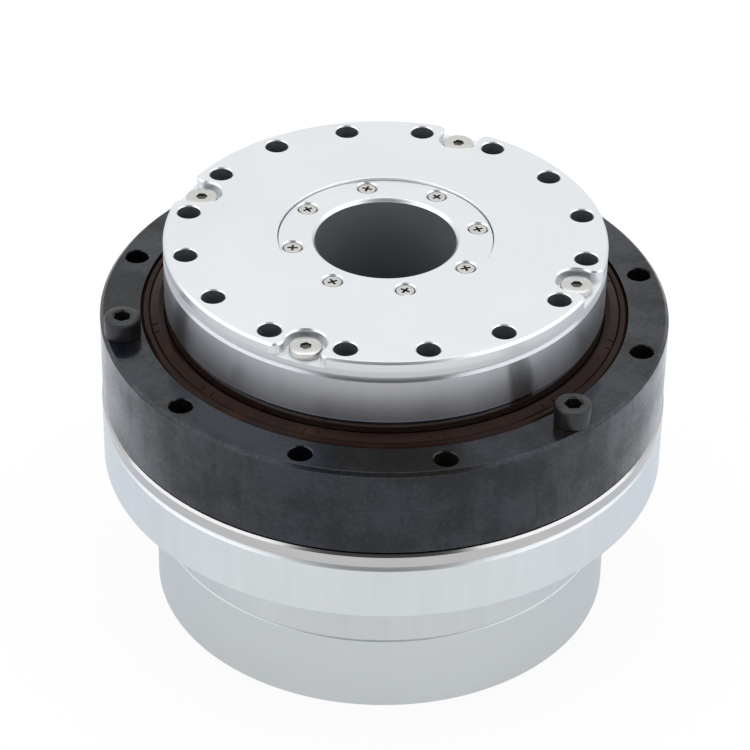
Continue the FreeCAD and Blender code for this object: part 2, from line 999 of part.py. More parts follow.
def bearing_inner_ring():
    low = z_ring + inner_ring_lift
    inner = spline_r - inner_ring_wall
    corner = (roller_d / 2 + run_gap) * math.sqrt(2)
    half = corner - (roller_circle - spline_r)
    body = turned(
        [
            (inner, low),
            (spline_r - small_edge, low),
            (spline_r, low + small_edge),
            (spline_r, z_roller - half),
            (roller_circle - corner, z_roller),
            (spline_r, z_roller + half),
            (spline_r, z_spline),
            (inner, z_spline),
        ]
    )
    depth = spline_screw_grip + thread_spare
    threads = pins(m3_r, output_circle, spline_screw_angles, z_spline - depth, z_spline)
    return body.cut(threads)


def centre_sleeve():
    return ring(bore_r, sleeve_r, sleeve_rise, z_sleeve_top)


def sleeve_cap():
    seat_r = sleeve_r + seat_gap
    body = turned(
        [
            (seat_r, z_ledge),
            (cap_r, z_ledge),
            (cap_r, z_cap - cap_edge),
            (cap_r - cap_edge, z_cap),
            (bore_r + bore_edge, z_cap),
            (bore_r, z_cap - bore_edge),
            (bore_r, z_sleeve_top),
            (seat_r, z_sleeve_top),
        ]
    )
    holes = pins(m2_r + clear_gap / 2, cap_circle, cap_screw_angles, z_ledge, z_cap)
    depth = cap_head_r - m2_r + cap_screw_sink
    foot_r = m2_r + cap_sink_gap
    cones = [
        Part.makeCone(foot_r, foot_r + depth, depth, place(cap_circle, degrees, z_cap - depth))
        for degrees in cap_screw_angles
    ]
    return body.cut(holes + cones)


def cap_screw_heads():
    cone_h = cap_head_r - m2_r
    body = turned(
        [
            (0, -cap_screw_len),
            (m2_r - thread_gap, -cap_screw_len),
            (m2_r - thread_gap, -cone_h - thread_gap - cap_screw_sink),
            (cap_head_r, -cap_screw_sink),
            (0, -cap_screw_sink),
        ]
    )
    slot_w = m2_r / 2
    slot_l = 2 * m2_r
    for size_x, size_y in ((slot_l, slot_w), (slot_w, slot_l)):
        corner = Vector(-size_x / 2, -size_y / 2, -cap_screw_sink - slot_w)
        body = body.cut(box(size_x, size_y, slot_l, corner))
    return screw_set(body, cap_circle, cap_screw_angles, z_cap)


def output_encoder_ring():
    return ring(sleeve_r + seat_gap, output_encoder_r, z_output_encoder, z_output_encoder + encoder_t)


# Rotor pieces


def motor_shaft():
    seat_low = z_wave_low - shaft_seat_t
    body = turned(
        [
            (shaft_bore_r, z_motor_encoder),
            (shaft_r, z_motor_encoder),
            (shaft_r, z_front_high),
            (shaft_shoulder_r, z_front_high),
            (shaft_shoulder_r, z_front_high + shaft_shoulder_t),
            (shaft_r, z_front_high + shaft_shoulder_t),
            (shaft_r, seat_low),
            (shaft_seat_r, seat_low),
            (shaft_seat_r, z_wave_low),
            (shaft_r, z_wave_low),
            (shaft_r, z_wave_high),
            (shaft_bore_r, z_wave_high),
        ]
    )
    threads = pins(m2_r, plug_screw_circle, even(plug_screws), seat_low, z_wave_low)
    return body.cut(threads)


def rotor_hub():
    return turned(
        [
            (shaft_r + seat_gap, z_rear_high),
            (shaft_r + hub_boss_t, z_rear_high),
            (shaft_r + hub_boss_t, z_stator),
            (magnet_seat_r, z_stator),
            (magnet_seat_r, z_stator + stator_h),
            (shaft_r + hub_boss_t, z_stator + stator_h),
            (shaft_r + hub_boss_t, z_front_low),
            (shaft_r + seat_gap, z_front_low),
        ]
    )


def rotor_magnets():
    base = Vector(0, 0, z_stator)
    outer = Part.makeCylinder(magnet_r, stator_h, base, up, magnet_span)
    inner = disc(magnet_seat_r + seat_gap, z_stator, z_stator + stator_h)
    return Part.makeCompound(spun(outer.cut(inner), even(magnets)))


def shaft_locknut():
    body = ring(shaft_r + thread_gap, locknut_r, z_locknut, z_rear_low)
    slot = box(
        locknut_slot_w,
        locknut_slot_w,
        locknut_t,
        Vector(locknut_r - locknut_slot_w / 2, -locknut_slot_w / 2, z_locknut),
    )
    return body.cut(spun(slot, even(locknut_slots)))


def motor_encoder_ring():
    return ring(shaft_r + seat_gap, motor_encoder_r, z_motor_encoder, z_locknut)


def wave_bearing_outer_race():
    half = wave_groove_w / 2
    shoulder_r = wave_outer_groove_r - wave_shoulder_h
    body = oval_ring(shoulder_r, wave_back_r, z_wave_low, z_wave_high)
    return body.cut(oval_disc(wave_outer_groove_r, z_wave - half, z_wave + half))


def wave_bearing_inner_race():
    half = wave_groove_w / 2
    shoulder_r = wave_inner_groove_r + wave_shoulder_h
    body = oval_ring(plug_r + seat_gap, shoulder_r, z_wave_low, z_wave_high)
    wide_r = shoulder_r + wave_shoulder_h
    return body.cut(oval_ring(wave_inner_groove_r, wide_r, z_wave - half, z_wave + half))


def wave_bearing_balls():
    balls = []
    for degrees in even(wave_balls):
        reach = wave_ball_circle + wave * math.cos(2 * math.radians(degrees))
        balls.append(Part.makeSphere(wave_ball_r, place(reach, degrees, z_wave)))
    return Part.makeCompound(balls)


def wave_bearing_cage():
    half = wave_cage_w / 2
    inner = wave_ball_circle - wave_cage_t / 2
    body = oval_ring(inner, inner + wave_cage_t, z_wave - half, z_wave + half)
    pocket = ball_pocket(wave_ball_r, wave_ball_circle, z_wave)
    return body.cut(spun(pocket, even(wave_balls)))


def wave_generator_plug():
    body = oval_disc(plug_r, z_wave_low, z_wave_high)
    body = body.cut(disc(shaft_r + seat_gap, z_wave_low, z_wave_high))
    angles = even(plug_screws)
    holes = pins(m2_r + clear_gap, plug_screw_circle, angles, z_wave_low, z_wave_high)
    sink = z_wave_high - m2_head_h - clear_gap
    sinks = pins(m2_head_r + clear_gap / 2, plug_screw_circle, angles, sink, z_wave_high)
    return body.cut(holes + sinks)


def wave_generator_screws():
    screw = cap_screw(m2_r, m2_head_r, m2_head_h, m2_hex, plug_screw_len - thread_spare)
    sink = z_wave_high - m2_head_h - clear_gap
    return screw_set(screw, plug_screw_circle, even(plug_screws), sink)


pieces = {
    "rear_cover": rear_cover(),
    "rear_cover_screws": rear_cover_screws(),
    "motor_housing": motor_housing(),
    "housing_o_ring": housing_o_ring(),
    "rear_bearing_plate": rear_bearing_plate(),
    "bearing_plate_screws": bearing_plate_screws(),
    "stator_core": stator_core(),
    "stator_windings": stator_windings(),
    "flexspline": flexspline(),
    "bearing_outer_ring": bearing_outer_ring(),
    "outer_ring_screws": outer_ring_screws(),
    "oil_seal": oil_seal(),
    "driver_board": driver_board(),
    "board_standoffs": board_standoffs(),
    "board_screws": board_screw_set(),
    "board_chips": board_chips(),
    "encoder_read_heads": encoder_read_heads(),
    "power_connector": connector(power_w, power_h, power_x, power_pins),
    "signal_connector": connector(signal_w, signal_h, signal_x, signal_pins),
    "front_bearing_outer_race": outer_race(z_front_low),
    "front_bearing_inner_race": inner_race(z_front_low),
    "front_bearing_balls": ball_set(z_front_low),
    "front_bearing_cage": ball_cage(z_front_low),
    "rear_bearing_outer_race": outer_race(z_rear_low),
    "rear_bearing_inner_race": inner_race(z_rear_low),
    "rear_bearing_balls": ball_set(z_rear_low),
    "rear_bearing_cage": ball_cage(z_rear_low),
    "crossed_rollers": crossed_rollers(),
    "roller_spacers": roller_spacers(),
    "output_flange": output_flange(),
    "flange_screws": flange_screws(),
    "circular_spline": circular_spline(),
    "spline_screws": spline_screw_set(),
    "bearing_inner_ring": bearing_inner_ring(),
    "centre_sleeve": centre_sleeve(),
    "sleeve_cap": sleeve_cap(),
    "cap_screws": cap_screw_heads(),
    "output_encoder_ring": output_encoder_ring(),
    "motor_shaft": motor_shaft(),
    "rotor_hub": rotor_hub(),
    "rotor_magnets": rotor_magnets(),
    "shaft_locknut": shaft_locknut(),
    "motor_encoder_ring": motor_encoder_ring(),
    "wave_generator_plug": wave_generator_plug(),
    "wave_generator_screws": wave_generator_screws(),
    "wave_bearing_inner_race": wave_bearing_inner_race(),
    "wave_bearing_outer_race": wave_bearing_outer_race(),
    "wave_bearing_balls": wave_bearing_balls(),
    "wave_bearing_cage": wave_bearing_cage(),
}

os.makedirs("parts", exist_ok=True)
for name, shape in pieces.items():
    shape.exportStep(f"parts/{name}.step")
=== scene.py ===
import json
import math

import bmesh
import bpy
from mathutils import Matrix, Vector


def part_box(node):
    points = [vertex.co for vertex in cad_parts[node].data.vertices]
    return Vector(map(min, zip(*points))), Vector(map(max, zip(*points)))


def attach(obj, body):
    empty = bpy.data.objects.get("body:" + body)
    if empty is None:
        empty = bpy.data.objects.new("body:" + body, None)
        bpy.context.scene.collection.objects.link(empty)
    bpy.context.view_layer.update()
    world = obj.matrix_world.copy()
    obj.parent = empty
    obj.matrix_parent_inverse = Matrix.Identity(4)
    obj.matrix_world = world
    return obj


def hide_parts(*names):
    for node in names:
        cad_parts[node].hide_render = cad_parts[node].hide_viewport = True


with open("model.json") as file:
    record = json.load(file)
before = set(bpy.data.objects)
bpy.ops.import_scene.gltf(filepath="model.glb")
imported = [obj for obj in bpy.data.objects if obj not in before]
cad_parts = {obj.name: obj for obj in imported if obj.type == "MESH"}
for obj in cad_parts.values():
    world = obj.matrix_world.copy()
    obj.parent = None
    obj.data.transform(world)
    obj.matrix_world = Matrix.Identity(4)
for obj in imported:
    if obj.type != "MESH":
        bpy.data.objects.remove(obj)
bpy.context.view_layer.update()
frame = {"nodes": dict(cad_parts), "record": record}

mm = 0.001
ringSteps = 288  # facets round a large turned piece
holeSteps = 48  # facets round a screw hole
headSteps = 64  # facets round a screw head
past = 0.5  # how far a cutter reaches beyond the face that it opens
toneRange = (0.8, 1.2)  # darkest and palest share of a metal's colour
print("frame loaded,", len(frame["nodes"]), "nodes")


# Shader maths: a wrapped socket that takes plain operators
class Sock:
    def __init__(self, tree, socket):
        self.tree = tree
        self.socket = socket

    def maths(self, operation, first, second=0.0):
        made = self.tree.nodes.new("ShaderNodeMath")
        made.operation = operation
        for slot, value in zip(made.inputs, (first, second)):
            if isinstance(value, Sock):
                self.tree.links.new(value.socket, slot)
            else:
                slot.default_value = value
        return Sock(self.tree, made.outputs[0])

    def __add__(self, other):
        return self.maths("ADD", self, other)

    def __sub__(self, other):
        return self.maths("SUBTRACT", self, other)

    def __rsub__(self, other):
        return self.maths("SUBTRACT", other, self)

    def __mul__(self, other):
        return self.maths("MULTIPLY", self, other)

    def __truediv__(self, other):
        return self.maths("DIVIDE", self, other)

    def __pow__(self, other):
        return self.maths("POWER", self, other)

    __radd__ = __add__
    __rmul__ = __mul__


class Finish:
    def __init__(self, owner):
        self.owner = owner
        owner.use_nodes = True
        self.tree = owner.node_tree
        self.tree.nodes.clear()

    # One way in for every node: type, settings, then values or links for its sockets
    def node(self, kind, settings=None, sockets=None, output=0):
        made = self.tree.nodes.new("ShaderNode" + kind)
        for key, value in (settings or {}).items():
            setattr(made, key, value)
        for key, value in (sockets or {}).items():
            if isinstance(value, Sock):
                self.tree.links.new(value.socket, made.inputs[key])
            else:
                made.inputs[key].default_value = value
        return Sock(self.tree, made.outputs[output]) if made.outputs else None

    # Object coordinates in millimetres, and the distance from the main axis
    def place(self, kind=3):
        coords = self.node("TexCoord", output=kind)
        split = self.node("SeparateXYZ", sockets={"Vector": coords}).socket.node
        x, y, z = (Sock(self.tree, out) / mm for out in split.outputs)
        return x, y, z, (x * x + y * y) ** 0.5

    def noise(self, x, y, z, detail=2.0):
        vector = self.node("CombineXYZ", sockets={"X": x, "Y": y, "Z": z})
        return self.node("TexNoise", sockets={"Vector": vector, "Scale": 1.0, "Detail": detail})

    # Streaks up a turned side: fine round the axis, slow in height
    def streaks(self, x, y, z, r, count):
        return self.noise(x / r * count, y / r * count, z * 0.05, 3.0)

    # 0 below low, 1 above high, eased between
    def ease(self, value, low, high):
        sockets = {"Value": value, "From Min": low, "From Max": high}
        return self.node("MapRange", {"interpolation_type": "SMOOTHSTEP"}, sockets)

    def mix(self, factor, first, second):
        sockets = {0: factor, 6: first, 7: second}
        return self.node("Mix", {"data_type": "RGBA"}, sockets, output=2)

    def bump(self, height, depth):
        return self.node("Bump", sockets={"Height": height, "Strength": 1.0, "Distance": depth * mm})

    def shade(self, sockets):
        surface = self.node("BsdfPrincipled", sockets=sockets)
        self.node("OutputMaterial", sockets={"Surface": surface})
        return self.owner


def rgba(colour):
    return (*colour, 1.0)


def darker(colour, share):
    return rgba([part * share for part in colour])


# Turned and ground metal: rings round the axis, streaks up the side, slow tone changes
turnedPattern = {"alongLine": 0.02, "broadPitch": 0.05, "streakCount": 22.0, "broadRough": 0.06,
                 "milledRough": 0.22}


def turnedMetal(name, look):
    finish = Finish(bpy.data.materials.new(name))
    x, y, z, r = finish.place()
    pitch = look["linesPerMm"]
    wide = turnedPattern["broadPitch"]
    lines = finish.noise(r * pitch, z * pitch, (x + y) * turnedPattern["alongLine"])
    broad = finish.noise(x * wide, y * wide, z * wide, 3.0)
    tone = (lines - 0.5) * look["lineTone"] + (broad - 0.5) * look["broadTone"] + 0.5
    if "streakTone" in look:
        streaks = finish.streaks(x, y, z, r, turnedPattern["streakCount"])
        tone = tone + (streaks - 0.5) * look["streakTone"]
    if "sideFrom" in look:  # painted shade: a tone step by radius darkens the housing's neck under its flange and the output flange's outer side
        tone = tone + finish.ease(r, *look["sideFrom"]) * look["sideTone"]
    colour = finish.mix(tone, *(darker(look["colour"], share) for share in toneRange))
    rough = look["rough"] + (lines - 0.5) * look["lineRough"]
    rough = rough + (broad - 0.5) * turnedPattern["broadRough"]
    if "milledBelow" in look:  # milled pockets are duller
        rough = rough + (1 - finish.ease(z, *look["milledBelow"])) * turnedPattern["milledRough"]
    sockets = {
        "Base Color": colour,
        "Metallic": 1.0,
        "Roughness": rough,
        "Normal": finish.bump(lines, look["lineDepth"]),
        "Anisotropic": look.get("stretch", 0.0),
        "Anisotropic Rotation": 0.25,
    }
    return finish.shade(sockets)


# Blasted and anodised metal: an even fine grain
blastedPattern = {"broadPitch": 0.04, "broadPitchUp": 0.08, "broadRough": 0.08}


def blastedMetal(name, look):
    finish = Finish(bpy.data.materials.new(name))
    x, y, z = finish.place()[:3]
    pitch, wide = look["grainsPerMm"], blastedPattern["broadPitch"]
    grain = finish.noise(x * pitch, y * pitch, z * pitch, 1.0)
    broad = finish.noise(x * wide, y * wide, z * blastedPattern["broadPitchUp"], 2.0)
    tone = (grain - 0.5) * look["grainTone"] + (broad - 0.5) * look["broadTone"] + 0.5
    colour = finish.mix(tone, *(darker(look["colour"], share) for share in toneRange))
    sockets = {
        "Base Color": colour,
        "Metallic": 1.0,
        "Roughness": look["rough"] + (broad - 0.5) * blastedPattern["broadRough"],
        "Normal": finish.bump(grain, look["grainDepth"]),
    }
    return finish.shade(sockets)


# Black oxide on steel under a film of oil: brown and blue clouds, streaks, paler worn spots
oxidePattern = {"cloudPitch": 0.08, "cloudPitchUp": 0.12, "linePitch": 5.0, "alongLine": 0.03, "speckPitch": 1.3,
                "streakCount": 14.0, "coolFrom": (0.38, 0.66), "lineShare": 0.5, "wornFrom": (0.6, 0.8),
                "edgeWear": 0.4, "cloudRough": 0.2, "streakRough": 0.16, "oilBreak": 0.4, "oilFrom": (0.3, 0.7),
                "oilGain": 2.0, "oilRough": 0.1, "oilIor": 1.4}


def blackOxide(name, look):
    finish = Finish(bpy.data.materials.new(name))
    x, y, z, r = finish.place()
    pattern = oxidePattern
    cloud, line, dot = pattern["cloudPitch"], pattern["linePitch"], pattern["speckPitch"]
    clouds = finish.noise(x * cloud, y * cloud, z * pattern["cloudPitchUp"], 4.0)
    lines = finish.noise(r * line, z * line, (x - y) * pattern["alongLine"])
    speck = finish.noise(x * dot, y * dot, z * dot, 3.0)
    tint = finish.mix(finish.ease(clouds, *pattern["coolFrom"]), rgba(look["warm"]), rgba(look["cool"]))
    worn = finish.ease(speck + (lines - 0.5) * pattern["lineShare"], *pattern["wornFrom"]) * look["wear"]
    if "edgeFrom" in look:  # rubbed bright along the broken outer edge
        worn = worn + finish.ease(r + z, *look["edgeFrom"]) * speck * pattern["edgeWear"]
    colour = finish.mix(worn, tint, rgba(look["bare"]))
    streaks = finish.streaks(x, y, z, r, pattern["streakCount"])
    rough = look["rough"] + (clouds - 0.5) * pattern["cloudRough"] + (streaks - 0.5) * pattern["streakRough"]
    film = finish.ease(clouds + (streaks + speck - 1) * pattern["oilBreak"], *pattern["oilFrom"])
    sockets = {
        "Base Color": colour,
        "Roughness": rough,
        "IOR": look["ior"],
        "Specular Tint": rgba(look["sheen"]),
        "Coat Weight": look["oil"] * film * pattern["oilGain"],
        "Coat Roughness": pattern["oilRough"],
        "Coat IOR": pattern["oilIor"],
        "Normal": finish.bump(lines, look["lineDepth"]),
    }
    return finish.shade(sockets)


# Rubber and plastic: fine grain, patches of dust
mouldedPattern = {"grainPitch": 6.0, "broadPitch": 0.15, "broadPitchUp": 0.3, "grainShare": 0.6,
                  "dustFrom": (0.55, 0.8), "grainRough": 0.15, "broadRough": 0.1}


def mouldedStuff(name, look):
    finish = Finish(bpy.data.materials.new(name))
    x, y, z = finish.place()[:3]
    pattern = mouldedPattern
    fine, wide = pattern["grainPitch"], pattern["broadPitch"]
    grain = finish.noise(x * fine, y * fine, z * fine, 2.0)
    broad = finish.noise(x * wide, y * wide, z * pattern["broadPitchUp"], 3.0)
    dust = finish.ease(broad + (grain - 0.5) * pattern["grainShare"], *pattern["dustFrom"]) * look["dust"]
    colour = finish.mix(dust, rgba(look["colour"]), rgba(look["dustColour"]))
    rough = look["rough"] + (grain - 0.5) * pattern["grainRough"] + (broad - 0.5) * pattern["broadRough"]
    sockets = {
        "Base Color": colour,
        "Roughness": rough,
        "IOR": look.get("ior", 1.5),
        "Normal": finish.bump(grain, look["grainDepth"]),
    }
    return finish.shade(sockets)


finishes = {
    "machined_aluminium": turnedMetal("turnedAluminium", {
        "colour": (0.568, 0.597, 0.62), "linesPerMm": 4.0, "lineTone": 0.2, "broadTone": 0.3,
        "streakTone": 0.3, "rough": 0.4, "lineRough": 0.1, "lineDepth": 0.002, "stretch": 0.5,
        # painted shade: the neck below radius 45.5 stays darker than the broad flange
        "sideFrom": (45.5, 50.0), "sideTone": 0.3}),
    "output_aluminium": turnedMetal("facedAluminium", {
        "colour": (0.735, 0.76, 0.78), "linesPerMm": 6.0, "lineTone": 0.12, "broadTone": 0.15,
        "rough": 0.33, "lineRough": 0.06, "lineDepth": 0.001,
        # painted shade: the outer side darker than the faced top
        "sideFrom": (42.1, 42.3), "sideTone": -0.2, "milledBelow": (77.1, 77.4)}),
    # drilled lines with painted shade: a darker aluminium for the walls inside the flange's holes
    "drilled_aluminium": turnedMetal("drilledAluminium", {
        "colour": (0.42, 0.435, 0.45), "linesPerMm": 3.0, "lineTone": 0.3, "broadTone": 0.2,
        "rough": 0.4, "lineRough": 0.1, "lineDepth": 0.004}),
    "cover_aluminium": blastedMetal("blastedAluminium", {
        "colour": (0.575, 0.604, 0.62), "grainsPerMm": 7.0, "grainTone": 0.2, "broadTone": 0.2,
        "rough": 0.45, "grainDepth": 0.004}),
    "gear_steel": turnedMetal("groundSteel", {
        "colour": (0.475, 0.483, 0.515), "linesPerMm": 1.2, "lineTone": 0.04, "broadTone": 0.25,
        "streakTone": 0.3, "rough": 0.25, "lineRough": 0.0, "lineDepth": 0.0, "stretch": 0.9}),
    "brim_steel": turnedMetal("brimSteel", {
        "colour": (0.48, 0.478, 0.483), "linesPerMm": 5.0, "lineTone": 0.3, "broadTone": 0.4,
        "rough": 0.16, "lineRough": 0.05, "lineDepth": 0.001}),
    "shaft_steel": turnedMetal("shaftSteel", {
        "colour": (0.5, 0.5, 0.51), "linesPerMm": 5.0, "lineTone": 0.3, "broadTone": 0.3,
        "rough": 0.3, "lineRough": 0.1, "lineDepth": 0.002}),
    "bearing_steel": turnedMetal("bearingSteel", {
        "colour": (0.52, 0.52, 0.53), "linesPerMm": 8.0, "lineTone": 0.1, "broadTone": 0.1,
        "rough": 0.12, "lineRough": 0.04, "lineDepth": 0.0005}),
    # painted shade: the inner ring's band in the gap above the seal, darker and tinted blue
    "oiled_steel": turnedMetal("oiledSteel", {
        "colour": (0.27, 0.38, 0.55), "linesPerMm": 1.5, "lineTone": 0.1, "broadTone": 0.1,
        "rough": 0.14, "lineRough": 0.0, "lineDepth": 0.0}),
    "bright_screw": turnedMetal("brightScrew", {
        "colour": (0.58, 0.575, 0.56), "linesPerMm": 6.0, "lineTone": 0.2, "broadTone": 0.3,
        "rough": 0.25, "lineRough": 0.08, "lineDepth": 0.001}),
    # painted shade: a dark finish inside screw sockets and cross recesses, and round the cap screws' heads
    "screw_recess": turnedMetal("screwRecess", {
        "colour": (0.15, 0.147, 0.142), "linesPerMm": 4.0, "lineTone": 0.2, "broadTone": 0.3,
        "rough": 0.4, "lineRough": 0.1, "lineDepth": 0.002}),
    "lamination": turnedMetal("lamination", {
        "colour": (0.2, 0.2, 0.22), "linesPerMm": 2.9, "lineTone": 0.6, "broadTone": 0.2,
        "rough": 0.45, "lineRough": 0.2, "lineDepth": 0.02}),
    "magnet": blastedMetal("nickelMagnet", {
        "colour": (0.5, 0.49, 0.47), "grainsPerMm": 4.0, "grainTone": 0.2, "broadTone": 0.2,
        "rough": 0.25, "grainDepth": 0.002}),
    "copper": turnedMetal("enamelledWire", {
        "colour": (0.6, 0.24, 0.1), "linesPerMm": 2.2, "lineTone": 0.6, "broadTone": 0.3,
        "rough": 0.3, "lineRough": 0.15, "lineDepth": 0.05}),
    "brass_part": turnedMetal("turnedBrass", {
        "colour": (0.62, 0.46, 0.2), "linesPerMm": 5.0, "lineTone": 0.3, "broadTone": 0.2,
        "rough": 0.25, "lineRough": 0.1, "lineDepth": 0.002}),
    "black_steel": blackOxide("blackOxideRing", {
        "warm": (0.009, 0.007, 0.0045), "cool": (0.0015, 0.0025, 0.0065), "bare": (0.03, 0.03, 0.032),
        "wear": 0.35, "rough": 0.2, "ior": 1.385, "sheen": (0.63, 0.8, 1.0), "oil": 0.32, "lineDepth": 0.001,
        "edgeFrom": (117.35, 117.6)}),
    "black_screw": blackOxide("blackOxideScrew", {
        "warm": (0.007, 0.0065, 0.006), "cool": (0.008, 0.008, 0.0095), "bare": (0.06, 0.058, 0.055),
        "wear": 0.45, "rough": 0.38, "ior": 1.5, "sheen": (0.9, 0.95, 1.0), "oil": 0.0, "lineDepth": 0.004}),
    "dark_tube": blackOxide("darkTube", {
        "warm": (0.118, 0.13, 0.134), "cool": (0.122, 0.138, 0.15), "bare": (0.16, 0.16, 0.16),
        "wear": 0.1, "rough": 0.38, "ior": 1.5, "sheen": (1.0, 1.0, 1.0), "oil": 0.0, "lineDepth": 0.003}),
    "seal_rubber": mouldedStuff("sealRubber", {
        "colour": (0.016, 0.007, 0.0052), "dustColour": (0.1, 0.04, 0.018), "dust": 0.25,
        "rough": 0.26, "ior": 1.17, "grainDepth": 0.006}),
    "black_rubber": mouldedStuff("blackRubber", {
        "colour": (0.012, 0.012, 0.012), "dustColour": (0.05, 0.05, 0.05), "dust": 0.2,
        "rough": 0.5, "grainDepth": 0.005}),
    "black_plastic": mouldedStuff("blackPlastic", {
        "colour": (0.014, 0.014, 0.015), "dustColour": (0.05, 0.05, 0.05), "dust": 0.1,
        "rough": 0.42, "grainDepth": 0.008}),
    "pale_plastic": mouldedStuff("palePlastic", {
        "colour": (0.62, 0.59, 0.5), "dustColour": (0.4, 0.37, 0.3), "dust": 0.2,
        "rough": 0.4, "grainDepth": 0.006}),
    "cage_plastic": mouldedStuff("cagePlastic", {
        "colour": (0.4, 0.32, 0.18), "dustColour": (0.3, 0.24, 0.14), "dust": 0.3,
        "rough": 0.4, "grainDepth": 0.006}),
    "circuit_board": mouldedStuff("circuitBoard", {
        "colour": (0.012, 0.09, 0.04), "dustColour": (0.03, 0.14, 0.07), "dust": 0.4,
        "rough": 0.25, "grainDepth": 0.004}),
    "encoder_ring": mouldedStuff("encoderRing", {
        "colour": (0.03, 0.03, 0.033), "dustColour": (0.08, 0.08, 0.08), "dust": 0.2,
        "rough": 0.45, "grainDepth": 0.004}),
}
print("finishes made,", len(finishes))

slotOf = {part["node"]: part["material_slot"] for part in frame["record"]["subparts"]}
bodyOf = {node: body for body, group in frame["record"]["behaviour"]["bodies"].items() for node in group}
for node, obj in frame["nodes"].items():
    obj.data.materials.clear()
    obj.data.materials.append(finishes[slotOf[node]])


# Lowest and highest z and the outer radius of a CAD node, in millimetres
def span(node):
    low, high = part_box(node)
    return low.z / mm, high.z / mm, high.x / mm


# A closed half section, given as (radius, height) in millimetres, turned about an upright axis
def turned(profile, steps=ringSteps, centre=(0.0, 0.0), soften=0.0):
    bm = bmesh.new()
    middle = Vector((centre[0] * mm, centre[1] * mm, 0))
    verts = [bm.verts.new(middle + Vector((r * mm, 0, z * mm))) for r, z in profile]
    edges = [bm.edges.new((verts[i - 1], verts[i])) for i in range(len(verts))]
    bmesh.ops.spin(
        bm, geom=verts + edges, cent=middle, axis=(0, 0, 1), dvec=(0, 0, 0),
        angle=2 * math.pi, steps=steps, use_merge=True, use_duplicate=False)
    bmesh.ops.remove_doubles(bm, verts=bm.verts, dist=0.0001 * mm)
    bmesh.ops.recalc_face_normals(bm, faces=bm.faces)
    if soften:
        softenEdges(bm, soften)
    return bm


# Rounds every edge that turns by more than 25 degrees
def softenEdges(bm, width, segments=2):
    sharp = [edge for edge in bm.edges if edge.is_manifold and edge.calc_face_angle() > math.radians(25)]
    bmesh.ops.bevel(
        bm, geom=sharp, offset=width * mm, offset_type="OFFSET", affect="EDGES",
        segments=segments, profile=0.5, material=-1, clamp_overlap=True)


def asObject(bm, name):
    mesh = bpy.data.meshes.new(name)
    bm.to_mesh(mesh)
    bm.free()
    obj = bpy.data.objects.new(name, mesh)
    bpy.context.scene.collection.objects.link(obj)
    return obj


def joined(*parts):
    bm = bmesh.new()
    for part in parts:
        mesh = bpy.data.meshes.new("part")
        part.to_mesh(mesh)
        part.free()
        bm.from_mesh(mesh)
        bpy.data.meshes.remove(mesh)
    return bm


# Boolean of two closed meshes; both are used up
def combined(bm, tool, operation="DIFFERENCE"):
    target = asObject(bm, "target")
    cutter = asObject(tool, "cutter")
    cut = target.modifiers.new("cut", "BOOLEAN")
    cut.operation = operation
    cut.solver = "EXACT"
    cut.object = cutter
    shaped = target.evaluated_get(bpy.context.evaluated_depsgraph_get())
    result = bmesh.new()
    result.from_mesh(shaped.to_mesh())
    shaped.to_mesh_clear()
    for obj in (target, cutter):
        mesh = obj.data
        bpy.data.objects.remove(obj)
        bpy.data.meshes.remove(mesh)
    return result


def onCircle(circle, degrees):
    angle = math.radians(degrees)
    return circle * math.cos(angle), circle * math.sin(angle)


def even(count, first=0.0):
    return [first + 360.0 * i / count for i in range(count)]


# Copies of one mesh round the main axis
def roundAxis(bm, angles):
    copies = []
    for degrees in angles:
        copy = bm.copy()
        turn = Matrix.Rotation(math.radians(degrees), 4, "Z")
        bmesh.ops.transform(copy, matrix=turn, verts=copy.verts)
        copies.append(copy)
    bm.free()
    return joined(*copies)


# A round cutter with a chamfer that opens at the top
def holeCutter(radius, edge, circle, low, top):
    over = top + past
    profile = [(0, low), (radius, low), (radius, top - edge), (radius + edge + past, over), (0, over)]
    return turned(profile, holeSteps, (circle, 0.0))


def box(low, high):
    bm = bmesh.new()
    bmesh.ops.create_cube(bm, size=1.0)
    low, high = Vector(low) * mm, Vector(high) * mm
    bmesh.ops.scale(bm, vec=high - low, verts=bm.verts)
    bmesh.ops.translate(bm, vec=(low + high) / 2, verts=bm.verts)
    return bm


# Gives the faces within a radius of a point and between two heights the second finish of the piece
def secondFinish(bm, radius, low, top, centre=(0.0, 0.0)):
    for face in bm.faces:
        middle = face.calc_center_median() / mm
        if math.hypot(middle.x - centre[0], middle.y - centre[1]) < radius and low < middle.z < top:
            face.material_index = 1


# Smooth faces, crisp edges, its finish, and the CAD body that carries it
def finishPiece(bm, name, node, second=None, body=None):
    for face in bm.faces:
        face.smooth = True
    for edge in bm.edges:
        edge.smooth = not edge.is_manifold or edge.calc_face_angle() < math.radians(35)
    obj = asObject(bm, name)
    obj.data.materials.append(finishes[slotOf[node]])
    if second:
        obj.data.materials.append(finishes[second])
    normals = obj.modifiers.new("flat faces", "WEIGHTED_NORMAL")
    normals.keep_sharp = True
    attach(obj, body or bodyOf[node])
    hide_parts(node)
    print(name, "made,", len(obj.data.polygons), "faces")
    return obj


# A copy of a CAD node's own mesh, merged
def cadMesh(node):
    bm = bmesh.new()
    bm.from_mesh(frame["nodes"][node].data)
    bmesh.ops.remove_doubles(bm, verts=bm.verts, dist=0.0005 * mm)
    return bm


# Rear cover: a cup with four countersunk bottom holes and two connector windows
coverLook = {"edge": 0.45, "jointEdge": 0.25, "wall": 3.0, "floor": 2.4, "hole": 15.0, "screwCircle": 41.6,
             "screwTurn": 45.0, "screwHole": 1.75, "screwSink": 3.0, "sinkDepth": 3.4, "windowGap": 0.25,
             "soften": 0.06}
coverTop, caseR = span("rear_cover")[1:]


